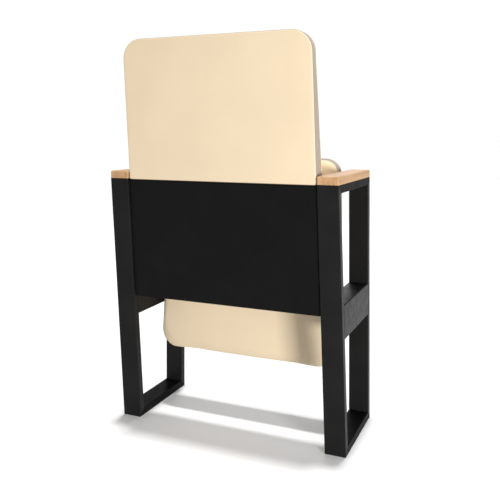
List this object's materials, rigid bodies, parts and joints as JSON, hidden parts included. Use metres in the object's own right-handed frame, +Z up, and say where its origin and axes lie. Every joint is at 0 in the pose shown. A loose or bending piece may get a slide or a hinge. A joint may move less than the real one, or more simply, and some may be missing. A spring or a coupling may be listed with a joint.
{
  "type": "tip-up conference chair",
  "caption": "Fixed conference chair with a sprung tip-up seat, an upholstered back with a black rear panel, steel loop side frames and wood armrests.",
  "frame": {"origin": "on the floor, in the middle of the area that the chair covers with its seat up", "axes": "+Z up, -Y the way the sitter faces, +X to the sitter's left"},
  "size_m": [0.612, 0.3318, 0.9951],
  "materials": {
    "black_steel": "satin",
    "black_board": "matte",
    "black_plastic": "matte",
    "armrest_wood": "satin",
    "plywood": "matte",
    "upholstery": "matte",
    "zinc_steel": "satin",
    "spring_steel": "satin",
    "nylon": "matte",
    "rubber": "matte"
  },
  "bodies": {
    "frame": {"armrest_left": "armrest_wood", "armrest_right": "armrest_wood", "armrest_screws_left": "zinc_steel", "armrest_screws_right": "zinc_steel", "back_board": "plywood", "back_bolts": "zinc_steel", "back_cushion": "upholstery", "back_lug_left": "black_steel", "back_lug_right": "black_steel", "back_nuts": "zinc_steel", "back_shell": "upholstery", "bottom_rail_left": "black_steel", "bottom_rail_right": "black_steel", "cross_rail": "black_steel", "cross_rail_caps": "black_plastic", "front_post_left": "black_steel", "front_post_right": "black_steel", "hinge_bush_left": "nylon", "hinge_bush_right": "nylon", "hinge_housing_left": "black_steel", "hinge_housing_right": "black_steel", "housing_cover_left": "black_plastic", "housing_cover_right": "black_plastic", "panel_studs": "black_plastic", "rear_panel": "black_board", "rear_post_left": "black_steel", "rear_post_right": "black_steel", "return_spring_left": "spring_steel", "return_spring_right": "spring_steel", "spring_stud_left": "zinc_steel", "spring_stud_right": "zinc_steel", "top_rail_left": "black_steel", "top_rail_right": "black_steel"},
    "seat": {"bracket_screws": "zinc_steel", "pivot_pin_left": "zinc_steel", "pivot_pin_right": "zinc_steel", "seat_board": "plywood", "seat_bracket_left": "black_steel", "seat_bracket_right": "black_steel", "seat_cushion": "upholstery", "seat_shell": "upholstery", "stop_pin_left": "zinc_steel", "stop_pin_right": "zinc_steel", "stop_sleeve_left": "rubber", "stop_sleeve_right": "rubber"}
  },
  "joints": [
    {"name": "seat_tip", "type": "hinge", "parent": "frame", "child": "seat", "pos_m": [0, -0.11391, 0.319], "axis": [1, 0, 0], "range_deg": [0, 80], "stiffness_Nm_per_rad": 4, "springref_deg": -34.38, "deforming": ["return_spring_left", "return_spring_right"]}
  ]
}
